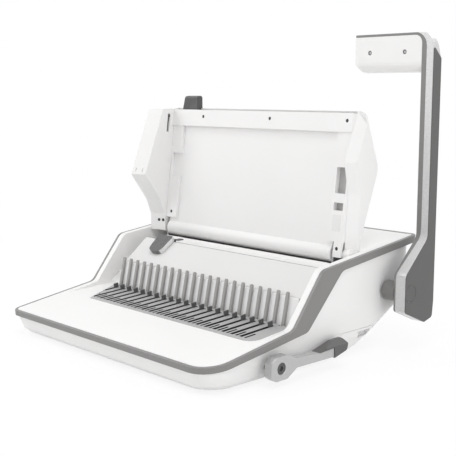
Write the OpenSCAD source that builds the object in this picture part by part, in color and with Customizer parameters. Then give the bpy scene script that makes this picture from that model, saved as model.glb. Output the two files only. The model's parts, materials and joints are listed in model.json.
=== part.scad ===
// Manual plastic comb binding machine: punch, comb opener, lid, handle and chip drawer.
// X runs to the right, Y to the back, Z up. The origin is under the middle of the machine.

/* [Comb row] */
// Distance between two comb fingers
pitch = 14.2875; // [13:0.0125:15]
// Number of upright comb fingers
finger_count = 22; // [16:1:24]
// Width of one finger
finger_w = 4; // [2.5:0.1:5]
// Depth of one finger, front to back
finger_t = 3; // [2:0.1:4]
// Backward lean of the fingers in degrees
finger_lean = 12; // [8:0.5:15]
// Height of the finger tips above the bed
finger_rise = 37; // [30:0.5:40]

/* [Case] */
// Height of the trim's upper edge at the front
front_z = 31.5; // [31:0.5:35]
// Distance from the handle shaft to the back of the trim
tail_d = 62; // [50:1:80]
// Slope of the tray in degrees
tray_slope = 8.9; // [8:0.1:10]
// How far the steep step starts in front of the fingers
step_lead = 20; // [14:1:26]
// Depth of the steep step
step_d = 47; // [44:1:52]
// Slope of the steep step in degrees
step_slope = 52; // [51:0.5:55]
// Slope of the rear top in degrees
rear_slope = 7.1; // [5:0.1:9]
// Space between the steel frame and the side wall
side_bay = 22.3; // [20:0.1:40]
// Width of the white rim on the side walls
rim_w = 8.6; // [6:0.1:11]
// Thickness of the tray and covers
plate_t = 3; // [2:0.1:3.5]
// Wall of the lower shell
wall = 2.4; // [1.6:0.1:3]
// Plan radius of the front right corner
corner_r = 32; // [26:1:44]
// Plan radius of the front left corner
left_corner_r = 12; // [10:1:30]
// Plan radius of the trim at the two rear corners
rear_corner_r = 8; // [7:1:20]
// Plan radius of the lower shell at the two rear corners
shell_rear_r = 30; // [28:1:36]
// How far the bottom is drawn in under the sides
bottom_inset = 14; // [10:0.5:16]
// Plan radius of the bottom at the two rear corners
bottom_rear_r = 90; // [70:1:95]

/* [Trim] */
// Thickness of the trim band
trim_t = 4.4; // [4:0.1:5]
// Height of the trim band along the sides
band_h = 9; // [7:0.5:11]
// Height of the trim band along the front
front_band_h = 6.8; // [5.5:0.1:8]
// How far the trim's lower edge is drawn in at the front
trim_draft = 3; // [1:0.1:3.2]
// Radius of the bends in the trim
bend_r = 14; // [8:1:18]

/* [Feet] */
// Height of the rubber feet
foot_h = 4; // [3:0.5:6]
// Diameter of the rubber feet
foot_d = 16; // [10:1:18]

/* [Hook bed] */
// Front edge of the slotted bed, from the front of the trim
bed_y = 79; // [76:1:84]
// Depth of the bed in front of the fingers
bed_d = 67; // [62:1:70]
// Slope of the bed in degrees
bed_slope = 3.3; // [2:0.1:4]
// Width of one hook slot
hook_slot_w = 5; // [3:0.1:6]
// Thickness of one hook
hook_t = 2; // [1.5:0.1:2.4]

/* [Punch] */
// Distance from the fingers to the middle of the paper slot
punch_back = 58.6; // [57:0.1:62]
// Gap between the die plates
slot_gap = 3.2; // [2.4:0.1:4]
// Thickness of a die plate
die_t = 4; // [3:0.1:4.5]
// Width of one punched hole
pin_w = 8; // [6:0.1:8.5]
// Height of one punched hole
pin_h = 3; // [2:0.1:3.5]
// Thickness of the steel side frames
frame_t = 3; // [2:0.1:3.4]

/* [Handle] */
// Distance from the paper slot back to the handle shaft
shaft_back = 83.4; // [82:0.2:90]
// Diameter of the handle shaft
shaft_d = 12; // [9:0.5:12.5]
// Gap between the side of the case and the handle
handle_gap = 18; // [16:0.5:24]
// Thickness of the handle arm
handle_t = 17; // [14:0.5:20]
// Height of the top of the handle
handle_top = 375; // [360:1:400]
// Length of the grip
grip_l = 97; // [80:1:100]
// Height of the grip
grip_h = 46; // [40:1:50]
// Depth of the grip
grip_d = 18; // [17:0.5:20]
// Teeth of the handle pinions
drive_teeth = 16; // [14:1:18]

/* [Comb lever] */
// Distance from the front edge of the bed back to the lever shaft
lever_back = 12; // [10:0.5:16]
// Height of the lever shaft above the floor of the shell
lever_rise = 13.6; // [13.2:0.1:15]
// Diameter of the lever shaft
lever_d = 10; // [8:0.5:10.5]
// Length of the lever from its shaft to its end
lever_l = 108; // [90:1:110]
// Thickness of the lever
lever_t = 11; // [8:0.5:12]
// Teeth of the lever pinions
lever_teeth = 12; // [11:1:12]

/* [Lid] */
// Distance from the paper slot back to the lid hinge
hinge_back = 35.4; // [34.6:0.2:38]
// Diameter of the hinge pins
hinge_d = 6; // [5:0.1:7]
// Backward lean of the lid's inner panel in degrees
lid_lean = 7; // [6:0.5:8]
// Width of the lid's right cheek
cheek_w = 9.3; // [9:0.1:12]
// Width of the left block
block_w = 20.3; // [18:0.1:21]
// Width of the press tab
tab_w = 29; // [20:1:32]

/* [Edge guide and drawer] */
// Middle of the edge guide, from the middle of the comb row
guide_x = -108; // [-120:1:-60]
// Width of the edge guide knob
guide_w = 30; // [22:1:34]
// Height of the chip drawer
drawer_h = 24; // [20:0.5:26]
// Depth of the chip drawer, front to back of the machine
drawer_d = 64; // [50:1:66]

/* [Fits] */
// Radial clearance of a running fit
run_fit = 0.05; // [0.02:0.01:0.1]
// Radial clearance of a pressed or screwed fit
press_fit = 0.02; // [0.01:0.01:0.05]
// Seam between two case pieces
seam = 0.2; // [0.1:0.05:0.4]
// Gap beside a sliding or swinging piece
slide_gap = 0.4; // [0.3:0.05:0.6]

/* [Hidden] */
$fn = 48;

// Colours
white = [0.94, 0.94, 0.93];
trim_grey = [0.50, 0.50, 0.48];
dark_grey = [0.38, 0.38, 0.37];
silver = [0.77, 0.77, 0.76];
comb_grey = [0.60, 0.60, 0.58];
steel = [0.62, 0.63, 0.65];
rubber = [0.16, 0.16, 0.16];
bronze = [0.72, 0.58, 0.32];

// Comb row and steel frame across the machine
row_half = pitch * (finger_count - 1) / 2;
frame_inset = 1.3;
frame_in = row_half - frame_inset;
frame_out = frame_in + frame_t;
bay_x = frame_out + side_bay;
case_x = bay_x + rim_w + trim_t;
handle_x0 = case_x + handle_gap;
handle_x1 = handle_x0 + handle_t;

// Side profile of the case
finger_y = bed_y + bed_d;
tray_d = finger_y - step_lead;
bend1 = [tray_d, front_z + tray_d * tan(tray_slope)];
bend2 = bend1 + step_d * [1, tan(step_slope)];
slot_y = finger_y + punch_back;
shaft_y = slot_y + shaft_back;
case_d = shaft_y + tail_d;
rear_z = bend2.y + (case_d - bend2.x) * tan(rear_slope);
low_shift = 22;
high_shift = 33;
low0 = [0, front_z - front_band_h];
low1 = [tray_d + low_shift, front_z - band_h + (tray_d + low_shift) * tan(tray_slope)];
low2 = bend2 + high_shift * [1, tan(rear_slope)] - [0, band_h];
low3 = [case_d, rear_z - band_h];
function top_z(y) = bend2.y + (y - bend2.x) * tan(rear_slope);
function tray_z(y) = front_z + y * tan(tray_slope);
function bed_z(y) = tray_z(bed_y) + (y - bed_y) * tan(bed_slope);

// Heights and depths of the mechanism
slot_drop = 6.2;
punch_drop = 21;
shaft_drop = 15;
hinge_drop = 1.7;
die_drop = 3;
die_below = 22;
floor_z = foot_h + wall;
finger_z = bed_z(finger_y);
slot_z = top_z(slot_y) - slot_drop;
punch_z = slot_z - punch_drop;
shaft_z = punch_z - shaft_drop;
hinge_y = slot_y + hinge_back;
hinge_z = top_z(hinge_y) - hinge_drop;
lever_y = bed_y + lever_back;
lever_z = floor_z + lever_rise;
die_y0 = slot_y - slot_gap / 2 - die_t;
die_y1 = slot_y + slot_gap / 2 + die_t;
die_half = frame_in - seam;
die_low = punch_z - die_below;
die_top = slot_z - die_drop;
die_rear_top = die_top - 2;

// Gears
drive_m = 1;
drive_r = drive_m * drive_teeth / 2;
lever_m = 1.5;
lever_r = lever_m * lever_teeth / 2;
tooth_share = 0.42;
addendum = 0.8;
dedendum = 1.15;
flank_angle = 20;

// Where the origin lies in the machine's own layout
origin = [(handle_x1 - case_x) / 2, case_d / 2, 0];

// Rounds the corners of a closed outline, one radius for each point
function unit(v) = v / norm(v);
function wrap(a) = a > 180 ? a - 360 : a < -180 ? a + 360 : a;
function arc_corner(a, b, c, r, n) = r <= 0 ? [b] :
    let (u = unit(a - b), v = unit(c - b), half = acos(u * v) / 2)
    let (mid = b + unit(u + v) * r / sin(half))
    let (s = b + u * r / tan(half) - mid, e = b + v * r / tan(half) - mid)
    let (a0 = atan2(s.y, s.x), turn = wrap(atan2(e.y, e.x) - a0))
    [for (k = [0:n]) mid + r * [cos(a0 + turn * k / n), sin(a0 + turn * k / n)]];
function rounded(p, radii, n = 6) = [
    for (i = [0:len(p) - 1])
        each arc_corner(p[(i + len(p) - 1) % len(p)], p[i], p[(i + 1) % len(p)], radii[i], n)
];
function about(c, h) = [c - h, c + h];
function shifted(p, d) = [for (q = p) q + d];
function backwards(p) = [for (i = [len(p) - 1:-1:0]) p[i]];
function squeezed(p, k) = [for (q = p) [q.x * k, q.y]];

// Extrudes a side outline, given in Y and Z, between two X values
module along_x(x0, x1) {
    translate([x0, 0, 0]) rotate([90, 0, 90]) linear_extrude(x1 - x0) children();
}

// Extrudes a front outline, given in X and Z, between two Y values
module along_y(y0, y1) {
    translate([0, y1, 0]) rotate([90, 0, 0]) linear_extrude(y1 - y0) children();
}

module box(x, y, z) {
    translate([x[0], y[0], z[0]]) cube([x[1] - x[0], y[1] - y[0], z[1] - z[0]]);
}

module rod(x0, x1, y, z, r) {
    translate([x0, y, z]) rotate([0, 90, 0]) cylinder(r = r, h = x1 - x0);
}

// Machine layout to part frame
module placed() {
    translate(-origin) children();
}

module both_sides() {
    children();
    mirror([1, 0, 0]) children();
}

// Plan of the case with its left front, right front and rear radii
module plan(half, y0, y1, radii) {
    polygon(rounded([[-half, y0], [half, y0], [half, y1], [-half, y1]],
        [radii[0], radii[1], radii[2], radii[2]], 8));
}

// Plan of the case drawn in on all sides, for a rear radius
module case_plan(inset, rear_r = rear_corner_r) {
    plan(case_x - inset, inset, case_d - inset, [left_corner_r - inset, corner_r - inset, rear_r - inset]);
}

// Spur gear about X, one tooth pointing up at rest
function gear_points(m, teeth) = let (r = m * teeth / 2, s = tooth_share * PI * m / 2) [
    for (i = [0:teeth - 1]) let (a = 90 - i * 360 / teeth)
        for (q = [[-1, -dedendum], [-1, addendum], [1, addendum], [1, -dedendum]])
            let (w = s - q.y * m * tan(flank_angle), rr = r + q.y * m, b = a - q.x * w / rr * 180 / PI)
                rr * [cos(b), sin(b)]
];
module gear(m, teeth, x0, x1, y, z, bore_r) {
    difference() {
        translate([0, y, z]) along_x(x0, x1) polygon(gear_points(m, teeth));
        rod(x0 - 1, x1 + 1, y, z, bore_r);
    }
}

// Toothed underside of a rack, a tooth gap standing at y over the gear
module rack_teeth(m, count, x0, x1, y, z) {
    step = PI * m;
    s = tooth_share * step / 2;
    lean = m * tan(flank_angle);
    for (i = [0:count - 1]) {
        yc = y + (i + 0.5) * step;
        along_x(x0, x1) polygon([
            [yc - s - lean * dedendum, z + dedendum * m], [yc - s + lean * addendum, z - addendum * m],
            [yc + s - lean * addendum, z - addendum * m], [yc + s + lean * dedendum, z + dedendum * m]
        ]);
    }
}

// Lower shell: a tub lofted through plan slices, each [height, inset, shortening at the back, rear radius]
slice_t = 0.01;
lap_gap = 0.13;
shell_gap = trim_t - wall - lap_gap;
skirt_z = 9;
flare_z = front_z - front_band_h - 0.7;
tail_z = 62;
flare_gap = trim_draft + 1.2;
skirt_gap = (bottom_inset + flare_gap) / 2;
shell_slices = [
    [foot_h, bottom_inset, 58, bottom_rear_r],
    [skirt_z, skirt_gap, 47, bottom_rear_r],
    [flare_z, flare_gap, 30, bottom_rear_r - 10],
    [tail_z, shell_gap, shell_gap, shell_rear_r],
    [rear_z + 1, shell_gap, shell_gap, shell_rear_r]
];
band_foot = rounded([low0, low1, low2, low3], [0, bend_r, bend_r, 0]);
module shell_form(inset) {
    drawn = shell_gap + inset;
    hull() for (s = shell_slices)
        translate([0, 0, s[0] + (s[0] == foot_h ? inset : 0)]) linear_extrude(slice_t)
            plan(case_x - s[1] - inset, s[1] + inset, case_d - s[2] - inset,
                [left_corner_r - drawn, corner_r - drawn, s[3] - drawn]);
}

drawer_y0 = slot_y + 5;
drawer_y1 = drawer_y0 + drawer_d;
drawer_z0 = floor_z + 1.4;
drawer_z1 = drawer_z0 + drawer_h;
drawer_x0 = -frame_in + 8;
far = 1000;
shaft_hole_gap = 1.5;
side_cut = 30;

module drawer_window(gap) {
    box([case_x - 60, far], [drawer_y0 - gap, drawer_y1 + gap], [drawer_z0 - gap, drawer_z1 + gap]);
}

module lower_shell() {
    color(white) placed() difference() {
        intersection() {
            shell_form(0);
            along_x(-far, far) polygon(concat(
                [[-far, -far], low0 - [far, seam]],
                shifted(band_foot, [0, -seam]),
                [low3 + [far, -seam], [far, -far]]));
        }
        shell_form(wall);
        drawer_window(slide_gap);
        rod(case_x - side_cut, far, shaft_y, shaft_z, shaft_d / 2 + shaft_hole_gap);
        rod(case_x - side_cut, far, lever_y, lever_z, lever_d / 2 + shaft_hole_gap);
    }
}

// Trim band, drawn in at its lower edge along the front
module trim_form() {
    draft_end = 6;
    slices = [[0, trim_draft], [low0.y, trim_draft], [front_z + draft_end, 0], [rear_z + 1, 0]];
    hull() for (s = slices) translate([0, 0, s[0]]) linear_extrude(slice_t) case_plan(s[1]);
}
module trim_band() {
    color(trim_grey) placed() difference() {
        intersection() {
            trim_form();
            along_x(-far, far) polygon(concat(band_foot,
                rounded([[case_d, rear_z], bend2, bend1, [0, front_z]], [0, bend_r, bend_r, 0])));
        }
        linear_extrude(far) case_plan(trim_t);
    }
}

// Upper case: tray, floor round the bed and the two side walls
bed_left_front = -row_half + 24;
bed_left_rear = -row_half - 9;
bed_right = row_half + 19;
bed_rear = finger_y - 1;
tray_rear = finger_y + 6;
bed_t = 3;
bed_radius = 14;
cover_y0 = hinge_y + 14;
wall_low = 40;
wall_mid = finger_y + 54;
wall_high = shaft_z + 20;
shoulder = [
    [bed_rear - 1, bed_z(bed_rear - 1) - 0.5], [finger_y + 2, bed_z(finger_y + 2) + 0.3],
    [hinge_y - 78, hinge_z - 58.3], [hinge_y - 40, hinge_z - 33], [hinge_y - 10, hinge_z - 23],
    [cover_y0 - seam, hinge_z - 23]
];
shelf_z = hinge_z - 16;
comb_left = -row_half - finger_w / 2 - slide_gap;
module bed_outline(grow) {
    polygon(rounded([
        [bed_left_front - grow, bed_y - grow], [bed_right + grow, bed_y - grow],
        [bed_right + grow - 6, bed_rear + grow], [bed_left_rear - grow, bed_rear + grow]
    ], [4, bed_radius, 3, 3]));
}
module upper_case() {
    inset = trim_t + seam;
    lap = 1.2;
    top = [case_d, rear_z];
    color(white) placed() difference() {
        intersection() {
            union() {
                intersection() {
                    linear_extrude(far) case_plan(inset);
                    along_x(-far, far) polygon(concat(band_foot, [[case_d, far], [0, far]]));
                }
                linear_extrude(far) case_plan(inset + lap, shell_rear_r);
            }
            union() {
                along_x(-far, far) polygon([
                    [0, front_z], [bed_y, tray_z(bed_y)], [tray_rear, bed_z(tray_rear)],
                    [tray_rear, bed_z(tray_rear) - plate_t], [bed_y, tray_z(bed_y) - plate_t],
                    [0, front_z - plate_t]
                ]);
                difference() {
                    along_x(-far, far) polygon(rounded([
                        [0, front_z - plate_t], [0, front_z], bend1, bend2, top, [case_d, wall_high],
                        [wall_mid + 30, wall_high], [wall_mid, tail_z + 1], low1 + [14, 15.2],
                        low1 + [0, 1.5], [bed_y, wall_low]
                    ], [0, 0, bend_r, bend_r, 0, 0, 0, 0, 0, 0, 0]));
                    box([-bay_x, bay_x], [-far, far], [-far, far]);
                }
                along_x(-case_x, comb_left)
                    polygon(concat(shoulder, backwards(shifted(shoulder, [0, -plate_t]))));
                box([frame_out + seam, case_x], [cover_rear + seam, cover_y0 - seam],
                    [shelf_z - plate_t, shelf_z]);
            }
        }
        box([comb_left, bay_x], [bed_rear, cover_rear], [-far, far]);
        translate([0, 0, -far / 2]) linear_extrude(far) bed_outline(seam);
        rod(case_x - side_cut, far, shaft_y, shaft_z, shaft_d / 2 + shaft_hole_gap);
    }
}

// Rear cover over the drive
module rear_cover() {
    y1 = case_d - trim_t - seam;
    lip = 12;
    rear_lip = band_h - 1;
    color(white) placed() intersection() {
        along_x(-bay_x + seam, bay_x - seam) polygon([
            [cover_y0, top_z(cover_y0) - lip], [cover_y0, top_z(cover_y0)], [y1, top_z(y1)],
            [y1, top_z(y1) - rear_lip], [y1 - plate_t, top_z(y1) - rear_lip],
            [y1 - plate_t, top_z(y1) - plate_t],
            [cover_y0 + plate_t, top_z(cover_y0) - plate_t], [cover_y0 + plate_t, top_z(cover_y0) - lip]
        ]);
        linear_extrude(far) case_plan(trim_t + seam);
    }
}

// Punch cover: sloped front face between the ledge and the paper slot
ledge_z = finger_z + finger_rise - 6;
lean_shift = (ledge_z - finger_z) * tan(finger_lean);
ledge_y = finger_y + (finger_t + seam) / cos(finger_lean) + lean_shift;
ledge_d = 2;
lip_gap = 3;
cover_rear = die_y0 - lip_gap;
cover_left = -frame_out - seam;
cover_right = bay_x - 6;
cover_low = [ledge_y + ledge_d, ledge_z + seam];
cover_top = [cover_rear, slot_z];
cover_slope = atan2(cover_top.y - cover_low.y, cover_top.x - cover_low.x);
function on_cover(u, n) = cover_top - u * [cos(cover_slope), sin(cover_slope)]
    + n * [-sin(cover_slope), cos(cover_slope)];
module punch_cover() {
    lip = 9;
    web_y = cover_low.x + plate_t + seam;
    web_low = die_low - 20;
    color(white) placed() {
        along_x(cover_left, cover_right) polygon(rounded([
            cover_low, cover_top, cover_top - [0, lip], cover_top - [plate_t, lip],
            on_cover(plate_t, -plate_t), cover_low + [plate_t, 0]
        ], [0, 1.5, 0, 0, 0, 0]));
        along_x(cover_left, cover_left + 2) polygon([
            [web_y, cover_low.y + 1],
            on_cover((cover_rear - frame_front + seam) / cos(cover_slope), 0) - [0, 1],
            [frame_front - seam, web_low], [web_y, web_low]
        ]);
    }
}

// White panel behind the fingers, with its ledge
module comb_back_panel() {
    back = (finger_t + seam) / cos(finger_lean);
    low_z = floor_z + 34;
    function lean_y(z) = finger_y + back + (z - finger_z) * tan(finger_lean);
    color(white) placed() difference() {
        along_x(cover_left, bay_x - seam) polygon([
            [lean_y(low_z), low_z], [lean_y(ledge_z), ledge_z], [ledge_y + ledge_d + plate_t, ledge_z],
            [ledge_y + ledge_d + plate_t, ledge_z - plate_t], [lean_y(ledge_z) + plate_t, ledge_z - plate_t],
            [lean_y(low_z) + plate_t, low_z]
        ]);
        box([cover_right - 2, bay_x], [0, far], [ledge_z - 7, far]);
    }
}

finger_foot = 5;
bar_h = 6;
module finger_frame() {
    translate([0, finger_y, finger_z]) rotate([-finger_lean, 0, 0]) children();
}
module finger_bar() {
    color(comb_grey) placed() finger_frame()
        translate([-row_half - finger_w / 2, 0, -finger_foot - bar_h])
            cube([2 * row_half + finger_w, finger_t, bar_h]);
}
module comb_fingers() {
    tip_r = finger_w / 2;
    long = finger_rise / cos(finger_lean) + finger_foot;
    color(comb_grey) placed() finger_frame() for (i = [0:finger_count - 1])
        translate([i * pitch - row_half, finger_t, -finger_foot]) rotate([90, 0, 0])
            linear_extrude(finger_t) {
                translate([-finger_w / 2, 0]) square([finger_w, long - tip_r]);
                translate([0, long - tip_r]) circle(r = tip_r);
            }
}

// Slotted bed and the hooks that reach up through it
hook_rest = finger_y - 12;
hook_d = 6;
hook_rise = 6;
lever_travel_deg = 105;
hook_travel = lever_r * lever_travel_deg * PI / 180;
slot_front = bed_y + 8;
slot_rear = hook_rest + hook_d / 2 + 1.5;
short_slot_l = 16;
short_slot_w = 3;
function hook_x(i) = (i + 1) * pitch - row_half - pitch / 2;
module hook_bed() {
    color(comb_grey) placed() difference() {
        intersection() {
            along_x(-far, far) polygon([
                [bed_y, bed_z(bed_y)], [bed_rear, bed_z(bed_rear)],
                [bed_rear, bed_z(bed_rear) - bed_t], [bed_y, bed_z(bed_y) - bed_t]
            ]);
            linear_extrude(far) bed_outline(0);
        }
        for (i = [0:finger_count - 2]) {
            box(about(hook_x(i), hook_slot_w / 2), [slot_front, slot_rear], [0, far]);
            box(about(hook_x(i) + pitch / 2, short_slot_w / 2),
                [slot_front, slot_front + short_slot_l], [0, far]);
        }
        for (i = [0:finger_count - 1])
            box(about(i * pitch - row_half, finger_w / 2 + slide_gap), [finger_y - 4, far], [0, far]);
    }
}

// Carriage with the hooks, driven by two racks
rack_z = lever_z + lever_r;
carriage_z0 = rack_z + 6;
carriage_t = 2.5;
carriage_y0 = hook_rest - 14;
carriage_y1 = hook_rest + 7;
lever_gear_x = row_half - 26;
lever_gear_w = 9;
module hook_carriage() {
    color(steel) placed() box(row_half * [-1, 1], [carriage_y0, carriage_y1],
        [carriage_z0, carriage_z0 + carriage_t]);
}
module comb_hooks() {
    top = bed_z(hook_rest) + hook_rise;
    tip = 3;
    color(dark_grey) placed() for (i = [0:finger_count - 2])
        along_x(hook_x(i) - hook_t / 2, hook_x(i) + hook_t / 2) polygon([
            [hook_rest - hook_d / 2, carriage_z0 + carriage_t],
            [hook_rest + hook_d / 2, carriage_z0 + carriage_t],
            [hook_rest + hook_d / 2, top - tip], [hook_rest + hook_d / 2, top],
            [hook_rest - hook_d / 2 - 1, top - 1], [hook_rest - hook_d / 2, top - tip]
        ]);
}
module hook_racks() {
    color(steel) placed() both_sides() {
        x = about(lever_gear_x, lever_gear_w / 2);
        box(x, [lever_y - 6, carriage_y1], [rack_z + dedendum * lever_m, carriage_z0]);
        rack_teeth(lever_m, 7, x[0], x[1], lever_y, rack_z);
    }
}

// Rails that carry the hook carriage
module hook_rails() {
    x = about(row_half - 7, 3);
    rail_h = 4;
    rear = finger_y + 4;
    post_d = 30;
    top = carriage_z0 - run_fit * 4;
    color(steel) placed() both_sides() {
        box(x, [carriage_y0 - hook_travel - rail_h, rear], [top - rail_h, top]);
        box(x, [rear - post_d, rear], [floor_z, top - rail_h]);
    }
}

// Lever bearings, shaft and pinions
module lever_bearings() {
    x = about(row_half + 2, 5);
    half_d = 10;
    rise = 9;
    color(comb_grey) placed() both_sides() difference() {
        box(x, about(lever_y, half_d), [floor_z, lever_z + rise]);
        rod(0, far, lever_y, lever_z, lever_d / 2 + run_fit);
    }
}
lever_x0 = case_x + 3;
lever_recess = 4;
lever_seat = lever_x0 + lever_t - lever_recess;
lever_screw_r = 6;
module lever_shaft() {
    color(steel) placed() rod(-row_half - 10, lever_seat, lever_y, lever_z, lever_d / 2);
}
module lever_pinions() {
    color(steel) placed() both_sides() gear(lever_m, lever_teeth, lever_gear_x - lever_gear_w / 2,
        lever_gear_x + lever_gear_w / 2, lever_y, lever_z, lever_d / 2 + press_fit);
}

// Lever arm with its faceted head and the dark grip end
lever_tilt = 0.3;
head_r = 17;
grip_part = 23;
pad_start = [60, 4.5];
arm_end = [lever_l - grip_part, 5.5];
module lever_frame() {
    translate([0, lever_y, lever_z]) rotate([lever_tilt, 0, 0]) children();
}
module lever_arm() {
    color(silver) placed() difference() {
        lever_frame() {
            along_x(lever_x0, lever_x0 + lever_t) polygon(rounded([
                [-head_r + 2, -8], [-8, -head_r + 4], [9, -head_r + 4], [24, -4], [60, -4.5],
                [lever_l - grip_part, -5], arm_end, pad_start, [24, 6.5], [10, 13],
                [-8, head_r - 4], [-head_r + 2, 8]
            ], [3, 4, 4, 6, 0, 0, 0, 0, 8, 4, 4, 3]));
        }
        rod(0, lever_seat + slide_gap, lever_y, lever_z, lever_d / 2 + press_fit);
        rod(lever_seat, far, lever_y, lever_z, lever_screw_r + slide_gap);
    }
}
module lever_screw() {
    color(dark_grey) placed() difference() {
        rod(lever_seat + slide_gap, lever_x0 + lever_t - 1, lever_y, lever_z, lever_screw_r);
        translate([lever_x0 + lever_t - 2.5, lever_y, lever_z]) rotate([0, 90, 0])
            cylinder(d = 6, h = 5, $fn = 6);
    }
}
module lever_grip() {
    top = 12;
    x = [lever_x0 - 1, lever_x0 + lever_t + 1];
    color(dark_grey) placed() lever_frame() intersection() {
        along_x(x[0], x[1]) polygon(rounded([
            [lever_l - grip_part, -6], [lever_l - 2, -1], [lever_l, 4], [lever_l, top],
            [lever_l - grip_part + 4, top - 0.5], pad_start, arm_end
        ], [0, 4, 4, 3, 6, 0, 0]));
        along_y(0, lever_l + 1) polygon([
            [x[0], -top], [x[1], -top], [x[1], top - 5], [x[0] + 2, top + 0.5], [x[0], top + 0.5]
        ]);
    }
}

// Steel side frames and what they carry
frame_front = die_y0 - 14.4;
frame_low = drawer_z1 + 5;
ear_r = 9;
bush_t = 3;
module side_frames() {
    leg_y = drawer_y0 - 4;
    rear = shaft_y + 22;
    top = shaft_z + 22;
    shelf = die_top - 3;
    color(steel) placed() both_sides() difference() {
        union() {
            along_x(frame_in, frame_out) polygon([
                [frame_front, floor_z], [leg_y, floor_z], [leg_y, frame_low], [shaft_y - 2, frame_low],
                [rear, shaft_z - 13], [rear, top], [hinge_y + ear_r, top],
                [hinge_y + ear_r, hinge_z], [hinge_y - ear_r, hinge_z], [hinge_y - ear_r, shelf],
                [die_y0, shelf], [frame_front, on_cover(cover_rear - frame_front, 0).y - 14]
            ]);
            rod(frame_in, frame_out, hinge_y, hinge_z, ear_r);
        }
        rod(0, far, shaft_y, shaft_z, shaft_d / 2 + bush_t + press_fit);
        rod(0, far, hinge_y, hinge_z, hinge_d / 2 + press_fit);
        for (p = tie_points) rod(0, far, p.x, p.y, tie_d / 2 + press_fit);
    }
}
tie_d = 8;
tie_points = [[frame_front + 6, die_low - 10], [hinge_y + 24, frame_low + 6]];
module tie_rods() {
    color(steel) placed() for (p = tie_points) rod(-frame_out, frame_out, p.x, p.y, tie_d / 2);
}
module pin_windows() {
    for (i = [0:finger_count - 2])
        box(about(hook_x(i), pin_w / 2 + slide_gap / 2), [0, far], about(punch_z, pin_h / 2 + slide_gap / 2));
}
module die_front_plate() {
    color(steel) placed() difference() {
        box(die_half * [-1, 1], [die_y0, die_y0 + die_t], [die_low, die_top]);
        pin_windows();
    }
}
module die_rear_plate() {
    color(steel) placed() difference() {
        box(die_half * [-1, 1], [die_y1 - die_t, die_y1], [die_low, die_rear_top]);
        pin_windows();
    }
}
stop_z = punch_z - 4.5;
spacer_w = 1.2;
stop_half = die_half - spacer_w - seam;
module die_spacers() {
    color(steel) placed() both_sides()
        box([stop_half + seam, die_half], about(slot_y, slot_gap / 2), [die_low, die_rear_top]);
}
module paper_stop() {
    color(steel) placed() box(stop_half * [-1, 1], about(slot_y, slot_gap / 2), [die_low, stop_z]);
}
module chip_chute() {
    x = frame_in;
    t = 1.5;
    upright = 14;
    low = [drawer_y0 + 5, drawer_z1 + 2];
    high = [frame_front + 1, die_low + 12];
    color(steel) placed() along_x(-x, x) polygon([
        low, low + [0, t], high + [t, 0], high + [t, upright], high + [0, upright], high
    ]);
}
module throat_guide() {
    y0 = die_y1 + seam;
    y1 = hinge_y - 15;
    z = die_top - 4;
    t = 2;
    lip = [hinge_y - 13, hinge_z - 10.5];
    color(white) placed() along_x(-die_half, die_half) polygon([
        [y0, z - 6], [y0, z], [y1, z + 2.5], lip, lip + [t, 0], [y1 + t, z + 0.5],
        [y0 + 3, z - 2.5], [y0 + 3, z - 6]
    ]);
}
module shaft_bushes() {
    flange = 2;
    color(bronze) placed() both_sides() difference() {
        union() {
            rod(frame_in - flange, frame_out, shaft_y, shaft_z, shaft_d / 2 + bush_t);
            rod(frame_in - flange, frame_in, shaft_y, shaft_z, shaft_d / 2 + 2 * bush_t);
        }
        rod(0, far, shaft_y, shaft_z, shaft_d / 2 + run_fit);
    }
}

// Punch bar with pins and racks
drive_rack_z = shaft_z + drive_r;
punch_deg = 90;
punch_travel = drive_r * punch_deg * PI / 180;
bar_y0 = die_y1 + punch_travel + 9;
bar_y1 = bar_y0 + 12;
bar_z0 = drive_rack_z - 1;
bar_z1 = bar_z0 + 16;
bar_half = frame_in - slide_gap;
drive_gear_x = row_half - 30;
drive_gear_w = 10;
shaft_end = handle_x0 + 6;
module punch_bar() {
    color(steel) placed() box(bar_half * [-1, 1], [bar_y0, bar_y1], [bar_z0, bar_z1]);
}
module punch_pins() {
    tip = slot_y + slot_gap / 2 + 1.2;
    color(steel) placed() for (i = [0:finger_count - 2])
        box(about(hook_x(i), pin_w / 2), [tip, bar_y0], about(punch_z, pin_h / 2));
}
module punch_racks() {
    color(steel) placed() both_sides() {
        x = about(drive_gear_x, drive_gear_w / 2);
        box(x, [bar_y1, shaft_y + 20], [drive_rack_z + dedendum * drive_m, drive_rack_z + 9]);
        rack_teeth(drive_m, 9, x[0], x[1], shaft_y - 3 * PI * drive_m, drive_rack_z);
    }
}
module bar_guides() {
    x = [frame_in - 8, frame_in];
    y = [die_y1 + 4, bar_y1 + 4];
    low_t = 3;
    high_t = 2.5;
    color(comb_grey) placed() both_sides() {
        box(x, y, [bar_z0 - low_t - run_fit, bar_z0 - run_fit]);
        box(x, y, [bar_z1 + run_fit, bar_z1 + high_t]);
    }
}
module drive_shaft() {
    color(steel) placed() rod(-frame_out - 5, shaft_end, shaft_y, shaft_z, shaft_d / 2);
}
module drive_pinions() {
    color(steel) placed() both_sides() gear(drive_m, drive_teeth, drive_gear_x - drive_gear_w / 2 - 2,
        drive_gear_x + drive_gear_w / 2 + 2, shaft_y, shaft_z, shaft_d / 2 + press_fit);
}

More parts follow.
